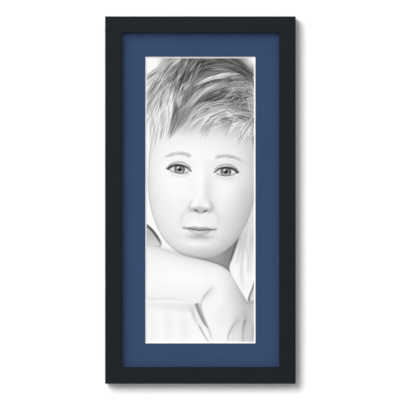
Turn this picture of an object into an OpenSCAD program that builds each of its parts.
// Matted picture frame: a mitred flat moulding that holds glazing, a bevel-cut window mat, a print,
// a filler board and a back panel. Turn buttons keep the panel in, and two D-ring hangers carry
// the frame. The front faces -Y. Y = 0 is the wall plane that the bumpers touch, X = 0 is the
// middle, and Z = 0 is the line through the pivots of the two rings.

/* [Print] */
// Width of the print
print_w = 203.2; // [150:0.1:420]
// Height of the print
print_h = 508; // [400:0.1:900]
// Thickness of the print's paper
print_t = 0.25; // [0.2:0.05:0.5]
// Strip of the print that the mat covers along each edge
print_overlap = 6.35; // [5:0.05:12]

/* [Mat] */
// Width of the mat from its window to its outer edge
mat_border = 44.45; // [36:0.05:90]
// Thickness of the coloured facing paper
mat_face_t = 0.25; // [0.15:0.05:0.4]
// Thickness of the white core board
mat_core_t = 2.6; // [1.2:0.1:3.4]
// Angle of the window's bevel, measured from the mat's face
bevel_angle = 45; // [40:1:60]

/* [Sheets behind the lip] */
// Thickness of the clear glazing
glazing_t = 2; // [1.5:0.1:4]
// Thickness of the filler board
filler_t = 4.8; // [3:0.1:8]
// Thickness of the hardboard back panel
panel_t = 3; // [2:0.1:5]
// Clearance between every sheet and the rabbet wall
sheet_play = 0.8; // [0.4:0.1:0.9]

/* [Moulding] */
// Width of the moulding's front face
moulding_w = 28.6; // [28:0.1:60]
// Thickness of the lip that stands in front of the glazing
lip_t = 10; // [6:0.1:16]
// Width of the rabbet under the lip
rabbet_w = 4.8; // [3.5:0.1:5.4]
// Radius along the outer front edge
outer_round = 1.6; // [0.6:0.1:3]
// Radius along the sight edge
sight_round = 1; // [0.4:0.1:2.4]
// Chamfer along the outer back edge
back_chamfer = 0.8; // [0.3:0.1:1.6]
// How far the back panel lies below the moulding's back face
back_play = 0.25; // [0.2:0.05:0.6]

/* [Corner nails] */
// Thickness of the nail's steel strip
nail_t = 0.6; // [0.4:0.1:0.9]
// Length of each leg from the mitre
nail_leg = 4.2; // [3:0.1:4.6]
// Length of the flared wing at the end of a leg
nail_wing = 1.3; // [0.8:0.1:1.6]
// How deep the nails are driven into the moulding
nail_depth = 10; // [7:0.1:14]

/* [Turn buttons] */
// Width of a turn button at its screw
button_w = 9.6; // [8.6:0.1:11]
// Width of a turn button at its tip
button_tip_w = 6.4; // [5:0.1:8]
// Thickness of the button's sheet metal
button_t = 1.1; // [0.8:0.1:1.5]
// Distance from the screw to the rabbet wall
button_setback = 7.6; // [6.6:0.1:9]
// How far the tip reaches over the back panel
button_reach = 8; // [6:0.1:10]
// Radius of the curl that lifts the tip off the panel
button_curl_r = 12; // [10:0.1:20]
// Distance from the frame's corner to the first button on a long side
button_inset = 82; // [60:1:95]

/* [Hangers] */
// Distance from the frame's top edge to the pivots of the rings
hanger_drop = 150; // [140:1:170]
// Width of the folded strap
strap_w = 10; // [8.6:0.1:11]
// Thickness of the strap's sheet metal
strap_t = 0.8; // [0.6:0.1:1]
// Diameter of the ring's wire
ring_wire_d = 2.4; // [2:0.1:2.8]
// Width of the ring between the centrelines of its sides
ring_w = 18; // [17.4:0.1:19]
// Bend radius at the ends of the ring's bar
ring_bend_r = 2.5; // [2:0.1:3]
// Straight length of the ring's sides
ring_side_l = 4; // [2:0.1:6]

/* [Screws] */
// Radius of a turn-button screw's shank
button_screw_r = 1.45; // [1.2:0.05:1.7]
// Length of a turn-button screw under its head
button_screw_l = 12; // [9:0.5:14]
// Radius of a turn-button screw's head
button_head_r = 2.9; // [2.5:0.1:3.5]
// Height of a turn-button screw's head
button_head_h = 1.9; // [1.4:0.1:2.2]
// Radius of a hanger screw's shank
hanger_screw_r = 1.75; // [1.4:0.05:2]
// Length of a hanger screw under its head
hanger_screw_l = 14; // [10:0.5:16]
// Radius of a hanger screw's head
hanger_head_r = 3.2; // [2.8:0.1:3.8]
// Height of a hanger screw's head
hanger_head_h = 2.1; // [1.6:0.1:2.4]

/* [Bumpers] */
// Diameter of a wall bumper
bumper_d = 12; // [8:0.1:16]
// Height of a wall bumper, from the frame's back to the wall
bumper_t = 6; // [5.6:0.1:9]
// Radius round a bumper's wall face
bumper_round = 1.2; // [0.4:0.1:2]
// Distance from the frame's side to a bumper's centre
bumper_inset = 44; // [36:1:60]

/* [Tapes] */
// Thickness of the linen tape
tape_t = 0.1; // [0.08:0.01:0.15]
// Width of each of the two tabs that hang the print
tab_w = 26; // [15:1:40]
// Length of mat edge left bare at each end of the long hinge tape
long_tape_inset = 12; // [4:1:30]

/* [Hidden] */
// Smoothness of the round surfaces
$fn = 48;
// Overrun of every cut past the surface that it opens
cut = 1;

// Clearance between two pieces that turn on each other
turn_gap = 0.08;
// Clearance round a screw's shank in the wood and in the strap
screw_fit = 0.05;
// Clearance round a corner nail in its slot
nail_fit = 0.04;
// Clearance between the resting ring and the strap under it
ring_rest_gap = 0.3;
// Clearance between the resting ring and the head of the strap's screw
ring_head_gap = 1.1;

// Angle of a corner nail's wing to its leg
nail_wing_angle = 35;
// Places of a corner's two nails along the mitre, as shares of the moulding's width at the back
nail_place_shares = [0.3, 0.68];

// Where a turn button begins to curl, as a share of its length from the screw to the tip
curl_start_share = 0.62;

// Head of a screw: height of its edge, then length, width and depth of its cross recess
head_edge_share = 0.4;
recess_length_share = 1.15;
recess_width_share = 0.26;
recess_depth_share = 0.6;
// Point of a screw: its length and the radius of its tip, as shares of the shank's radius
point_length_share = 2.2;
point_tip_share = 0.12;

// Places of the two tabs across the print, as shares of its width
tab_place_shares = [-0.3, 0.3];
// Height of a tab's leaf and of the long tape's leaf, as shares of the strip above the print
tab_leaf_share = 0.47;
long_leaf_share = 0.37;

// Window and sheets
window_w = print_w - 2 * print_overlap;
window_h = print_h - 2 * print_overlap;
sheet_w = window_w + 2 * mat_border;
sheet_h = window_h + 2 * mat_border;
top_strip = mat_border - print_overlap;

// Moulding
back_w = moulding_w - rabbet_w;
frame_w = sheet_w + 2 * (sheet_play + back_w);
frame_h = sheet_h + 2 * (sheet_play + back_w);
mat_t = mat_face_t + mat_core_t;
tape_room = print_t + tape_t;
pack_t = glazing_t + mat_t + tape_room + filler_t + panel_t;
moulding_d = lip_t + pack_t + back_play;

// Depths, from the front backwards
back_y = -bumper_t;
front_y = back_y - moulding_d;
glazing_y = front_y + lip_t;
mat_y = glazing_y + glazing_t;
core_y = mat_y + mat_face_t;
print_y = mat_y + mat_t;
filler_y = print_y + tape_room;
panel_y = filler_y + filler_t;

// Heights
top_z = hanger_drop;
bottom_z = top_z - frame_h;
mid_z = top_z - frame_h / 2;

// Turn buttons
button_l = button_setback + button_reach;
button_run = frame_h / 2 - button_inset;
button_seat = button_t + 2 * turn_gap;

// Hangers: the eye, the ring and the strap's screw
ring_wire_r = ring_wire_d / 2;
eye_r = ring_wire_r + turn_gap;
eye_h = strap_t + eye_r;
ring_drop = ring_bend_r + ring_side_l + ring_w / 2;
ring_lean = asin((2 * strap_t + ring_rest_gap + ring_wire_r - eye_h) / ring_drop);
strap_screw_drop = ring_drop + ring_wire_r + ring_head_gap + hanger_head_r;
hanger_x = frame_w / 2 - back_w / 2;

// Bumpers
bumper_x = frame_w / 2 - bumper_inset;
bumper_z = bottom_z + back_w / 2;

// Every turn button: its node's name, its rail, and its place along that rail from the middle,
// counted in the direction that on_rail() gives the rail's own X
BUTTONS = [
    ["turn_button_left_top", "left", -button_run],
    ["turn_button_left_middle", "left", 0],
    ["turn_button_left_bottom", "left", button_run],
    ["turn_button_right_top", "right", button_run],
    ["turn_button_right_middle", "right", 0],
    ["turn_button_right_bottom", "right", -button_run],
    ["turn_button_top", "top", 0],
    ["turn_button_bottom", "bottom", 0],
];

// Colours
satin_black = [0.14, 0.157, 0.169];
mat_blue = [0.216, 0.294, 0.424];
core_white = [0.96, 0.96, 0.95];
print_grey = [0.82, 0.82, 0.82];
clear_sheet = [0.9, 0.95, 0.96, 0.3];
linen_white = [0.9, 0.88, 0.82];
board_white = [0.93, 0.93, 0.91];
hardboard_brown = [0.42, 0.29, 0.18];
nickel_plate = [0.72, 0.7, 0.66];
zinc_plate = [0.62, 0.64, 0.66];
nail_steel = [0.45, 0.46, 0.48];
rubber_black = [0.09, 0.09, 0.09];

// Puts a piece drawn in a rail's own axes in place. There X runs along the rail from its middle,
// Y back from its front face, and Z inwards from its outer edge.
module on_rail(side) {
    angle = side == "left" ? 90 : side == "top" ? 180 : side == "right" ? -90 : 0;
    x = side == "left" ? -frame_w / 2 : side == "right" ? frame_w / 2 : 0;
    z = side == "top" ? top_z : side == "bottom" ? bottom_z : mid_z;
    translate([x, front_y, z]) rotate([0, angle, 0]) children();
}

function rail_length(side) = side == "left" || side == "right" ? frame_h : frame_w;

// Stands a piece that is built upright on Z, with its tail along +Y, out of the back of the frame:
// its Z then points to the wall and its Y away from where the frame's or rail's Z points
module out_of_back() {
    rotate([-90, 0, 0]) children();
}

// Moves a piece to a hanger's foot, on the back face under the ring's pivot
module at_hanger(side) {
    translate([side == "left" ? -hanger_x : hanger_x, back_y, 0]) out_of_back() children();
}

// Moves a piece to a turn button's foot, on the back face, with its tail towards the outer edge
module at_button(b) {
    on_rail(b[1]) translate([b[2], moulding_d, back_w - button_setback]) out_of_back() children();
}

// What a quarter round of radius r leaves over of the square corner at the origin
module round_cut(r) {
    difference() {
        translate([-cut, -cut]) square(r + cut);
        translate([r, r]) circle(r);
    }
}

// Section of the moulding: X is the depth from the front, Y the distance from the outer edge
module moulding_section() {
    difference() {
        square([moulding_d, moulding_w]);
        translate([lip_t, back_w]) square([moulding_d - lip_t + cut, rabbet_w + cut]);
        round_cut(outer_round);
        translate([0, moulding_w]) mirror([0, 1]) round_cut(sight_round);
        translate([moulding_d, 0])
            polygon([[-back_chamfer - cut, -cut], [cut, back_chamfer + cut], [cut, -cut]]);
    }
}

// Space between the two mitre cuts of a rail
module mitre_space(length) {
    reach = moulding_w + cut;
    foot = length / 2 + cut;
    head = length / 2 - reach;
    translate([0, moulding_d + cut, 0]) rotate([90, 0, 0])
        linear_extrude(moulding_d + 2 * cut)
            polygon([[-foot, -cut], [foot, -cut], [head, reach], [-head, reach]]);
}

// Outline of one half of a corner nail, along +X from the mitre, with a strip of thickness t
module nail_half(t) {
    translate([-t / 2, -t / 2]) square([nail_leg + t, t]);
    translate([nail_leg, 0]) rotate(-nail_wing_angle)
        translate([-t / 2, -t / 2]) square([nail_wing + t, t]);
}

// The two nails of a corner at the origin whose rails run along +X and +Z, or with a fit and an
// overrun the slots that they are driven into
module nails_at_corner(fit = 0, overrun = 0) {
    for (share = nail_place_shares)
        translate([share * back_w, moulding_d + overrun, share * back_w]) rotate([90, 0, 0])
            linear_extrude(nail_depth + fit + overrun) {
                nail_half(nail_t + 2 * fit);
                mirror([1, -1]) nail_half(nail_t + 2 * fit);
            }
}

// Pan-head wood screw: the head's underside is at the origin, the point down -Z
module wood_screw(r, length, head_r, head_h) {
    point = point_length_share * r;
    rise = head_h * (1 - head_edge_share);
    dome_r = (head_r * head_r + rise * rise) / (2 * rise);
    bar = [recess_length_share * head_r, recess_width_share * head_r];
    depth = recess_depth_share * head_h;
    translate([0, 0, -length]) cylinder(r1 = point_tip_share * r, r2 = r, h = point);
    translate([0, 0, point - length]) cylinder(r = r, h = length - point);
    difference() {
        intersection() {
            cylinder(r = head_r, h = head_h);
            translate([0, 0, head_h - dome_r]) sphere(dome_r);
        }
        for (side = [bar, [bar[1], bar[0]]])
            translate([-side[0] / 2, -side[1] / 2, head_h - depth])
                cube([side[0], side[1], depth + cut]);
    }
}

// Pilot hole for a screw whose head stands at the given height over the wood
module pilot_hole(r, length, seat) {
    depth = length - seat + screw_fit;
    translate([0, 0, -depth]) cylinder(r = r + screw_fit, h = depth + cut);
}

// One mitred rail, with its rabbet, its nail slots and its pilot holes
module rail(side) {
    length = rail_length(side);
    color(satin_black) difference() {
        on_rail(side) difference() {
            intersection() {
                rotate([90, 0, 90]) linear_extrude(length + 2 * cut, center = true)
                    moulding_section();
                mitre_space(length);
            }
            for (end = [0, 1])
                mirror([end, 0, 0]) translate([-length / 2, 0, 0]) nails_at_corner(nail_fit, cut);
        }
        for (b = BUTTONS)
            if (b[1] == side)
                at_button(b) pilot_hole(button_screw_r, button_screw_l, button_seat);
        if (side == "left" || side == "right")
            at_hanger(side) translate([0, strap_screw_drop, 0])
                pilot_hole(hanger_screw_r, hanger_screw_l, 2 * strap_t);
    }
}

module corner_nails() {
    color(nail_steel)
        for (flip_x = [0, 1], flip_z = [0, 1])
            translate([0, front_y, mid_z]) mirror([flip_x, 0, 0]) mirror([0, 0, flip_z])
                translate([-frame_w / 2, 0, -frame_h / 2]) nails_at_corner();
}

// A flat sheet of the pack, centred in the rabbet, from depth y backwards
module pack_sheet(w, h, y, t) {
    translate([-w / 2, y, mid_z - h / 2]) cube([w, t, h]);
}

module glazing() {
    color(clear_sheet) pack_sheet(sheet_w, sheet_h, glazing_y, glazing_t);
}

// One pair of the window's bevelled sides: a wedge of the given width at the mat's face, along Z
module bevel_wedge(w, length) {
    slope = 1 / tan(bevel_angle);
    wide = w / 2 + cut * slope;
    narrow = w / 2 - (mat_t + cut) * slope;
    linear_extrude(length + 2 * cut * slope, center = true)
        polygon([[-wide, -cut], [wide, -cut], [narrow, mat_t + cut], [-narrow, mat_t + cut]]);
}

// Cut through the mat, which is as wide as the window at the face and narrows behind it
module window_cut() {
    translate([0, mat_y, mid_z]) intersection() {
        bevel_wedge(window_w, window_h);
        rotate([0, 90, 0]) bevel_wedge(window_h, window_w);
    }
}

module mat_face() {
    color(mat_blue) difference() {
        pack_sheet(sheet_w, sheet_h, mat_y, mat_face_t);
        window_cut();
    }
}

module mat_core() {
    color(core_white) difference() {
        pack_sheet(sheet_w, sheet_h, core_y, mat_core_t);
        window_cut();
    }
}

module art_print() {
    color(print_grey) pack_sheet(print_w, print_h, print_y, print_t);
}

// Two tabs that hang the print: each has a leaf up on the mat's back, a step over the print's top
// edge, and a leaf down on the print's back
module print_hinge_tabs() {
    leaf = tab_leaf_share * top_strip;
    color(linen_white)
        for (share = tab_place_shares)
            translate([share * print_w, print_y, mid_z + print_h / 2]) rotate([90, 0, 90])
                linear_extrude(tab_w, center = true)
                    polygon([[0, 0], [0, leaf], [tape_t, leaf], [tape_t, tape_t],
                        [tape_room, tape_t], [tape_room, -leaf], [print_t, -leaf],
                        [print_t, 0]]);
}

// Long tape, folded at the top edge, that hinges the mat to the filler board like a book
module mat_hinge_tape() {
    leaf = long_leaf_share * top_strip;
    color(linen_white)
        translate([0, print_y, mid_z + sheet_h / 2]) rotate([90, 0, 90])
            linear_extrude(sheet_w - 2 * long_tape_inset, center = true)
                polygon([[0, 0], [tape_room, 0], [tape_room, -leaf], [print_t, -leaf],
                    [print_t, -tape_t], [tape_t, -tape_t], [tape_t, -leaf], [0, -leaf]]);
}

module filler_board() {
    color(board_white) pack_sheet(sheet_w, sheet_h, filler_y, filler_t);
}

module back_panel() {
    color(hardboard_brown) pack_sheet(sheet_w, sheet_h, panel_y, panel_t);
}

// A block of height h on the outline of a turn button, from its screw at the origin to its tip
// along -Y: a round end, a taper and a smaller round end
module button_block(h) {
    foot_r = button_w / 2;
    tip_r = button_tip_w / 2;
    span = button_l - tip_r;
    rotate_extrude(angle = 180) square([foot_r, h]);
    translate([0, -span, 0]) rotate(180) rotate_extrude(angle = 180) square([tip_r, h]);
    linear_extrude(h) polygon([[-foot_r, 0], [foot_r, 0], [tip_r, -span], [-tip_r, -span]]);
}

// Sheet of a turn button from the side: X runs from the screw to the tip, Y up from the wood, and
// Z across. A flat plate, then a curl that lifts the tip.
module button_sheet() {
    start = curl_start_share * button_l;
    translate([-button_w, 0, -button_w]) cube([button_w + start, button_t, 2 * button_w]);
    translate([start, button_t + button_curl_r, 0]) rotate(-90) rotate_extrude(angle = 90)
        translate([button_curl_r, -button_w]) square([button_t, 2 * button_w]);
}

// A turn button over its foot at the origin, with its tip along -Y
module turn_button(name) {
    color(zinc_plate)
        for (b = BUTTONS)
            if (b[0] == name)
                at_button(b) translate([0, 0, turn_gap]) difference() {
                    intersection() {
                        translate([0, 0, -cut]) button_block(button_t + button_curl_r);
                        rotate([90, 0, -90]) button_sheet();
                    }
                    translate([0, 0, -cut])
                        cylinder(r = button_screw_r + turn_gap, h = button_t + 2 * cut);
                }
}

module turn_button_screws() {
    color(zinc_plate)
        for (b = BUTTONS)
            at_button(b) translate([0, 0, button_seat])
                wood_screw(button_screw_r, button_screw_l, button_head_r, button_head_h);
}

// A hanger's folded strap from the side: X runs down from the pivot, Y up from the wood, and Z
// across. The inner layer lies on the wood, the sheet rolls round the ring's bar, and a bend lays
// the outer layer on the inner one as far as the round end.
module strap_body() {
    half = strap_w / 2;
    bend_r = eye_r - strap_t;
    flat_x = 2 * eye_r;
    translate([0, 0, -half]) cube([strap_screw_drop, strap_t, strap_w]);
    translate([0, eye_h, 0]) rotate_extrude(angle = 270)
        translate([eye_r, -half]) square([strap_t, strap_w]);
    translate([flat_x, eye_h, 0]) rotate(180) rotate_extrude(angle = 90)
        translate([bend_r, -half]) square([strap_t, strap_w]);
    translate([flat_x, strap_t, -half]) cube([strap_screw_drop - flat_x, strap_t, strap_w]);
    translate([strap_screw_drop, 0, 0]) rotate([-90, 0, 0]) rotate(-90)
        rotate_extrude(angle = 180) square([half, 2 * strap_t]);
}

// A hanger's strap on its foot, with one hole for its screw
module hanger_strap(side) {
    color(nickel_plate) at_hanger(side) difference() {
        rotate([90, 0, 90]) strap_body();
        translate([0, strap_screw_drop, -cut])
            cylinder(r = hanger_screw_r + screw_fit, h = 2 * strap_t + 2 * cut);
    }
}

// A hanger's D-ring, hanging from its pivot and leaning just clear of the strap
module hanger_ring(side) {
    color(nickel_plate) at_hanger(side) translate([0, 0, eye_h]) rotate([ring_lean, 0, 0]) {
        rotate([0, 90, 0])
            cylinder(r = ring_wire_r, h = ring_w - 2 * ring_bend_r, center = true);
        for (flip = [0, 1])
            mirror([flip, 0, 0]) {
                translate([ring_w / 2 - ring_bend_r, ring_bend_r, 0]) rotate([0, 0, -90])
                    rotate_extrude(angle = 90) translate([ring_bend_r, 0]) circle(ring_wire_r);
                translate([ring_w / 2, ring_bend_r, 0]) rotate([-90, 0, 0])
                    cylinder(r = ring_wire_r, h = ring_side_l);
            }
        translate([0, ring_bend_r + ring_side_l, 0])
            rotate_extrude(angle = 180) translate([ring_w / 2, 0]) circle(ring_wire_r);
    }
}

module hanger_screws() {
    color(nickel_plate)
        for (side = ["left", "right"])
            at_hanger(side) translate([0, strap_screw_drop, 2 * strap_t])
                wood_screw(hanger_screw_r, hanger_screw_l, hanger_head_r, hanger_head_h);
}

module wall_bumpers() {
    r = bumper_d / 2;
    color(rubber_black)
        for (side = [-1, 1])
            translate([side * bumper_x, back_y, bumper_z]) out_of_back() rotate_extrude() {
                square([r, bumper_t - bumper_round]);
                square([r - bumper_round, bumper_t]);
                translate([r - bumper_round, bumper_t - bumper_round]) intersection() {
                    circle(bumper_round);
                    square(bumper_round);
                }
            }
}

rail("top");  // rail_top
rail("bottom");  // rail_bottom
rail("left");  // rail_left
rail("right");  // rail_right
corner_nails();
glazing();
mat_face();
mat_core();
art_print();
print_hinge_tabs();
mat_hinge_tape();
filler_board();
back_panel();
turn_button("turn_button_left_top");  // turn_button_left_top
turn_button("turn_button_left_middle");  // turn_button_left_middle
turn_button("turn_button_left_bottom");  // turn_button_left_bottom
turn_button("turn_button_right_top");  // turn_button_right_top
turn_button("turn_button_right_middle");  // turn_button_right_middle
turn_button("turn_button_right_bottom");  // turn_button_right_bottom
turn_button("turn_button_top");  // turn_button_top
turn_button("turn_button_bottom");  // turn_button_bottom
turn_button_screws();
hanger_strap("left");  // hanger_strap_left
hanger_strap("right");  // hanger_strap_right
hanger_ring("left");  // hanger_ring_left
hanger_ring("right");  // hanger_ring_right
hanger_screws();
wall_bumpers();
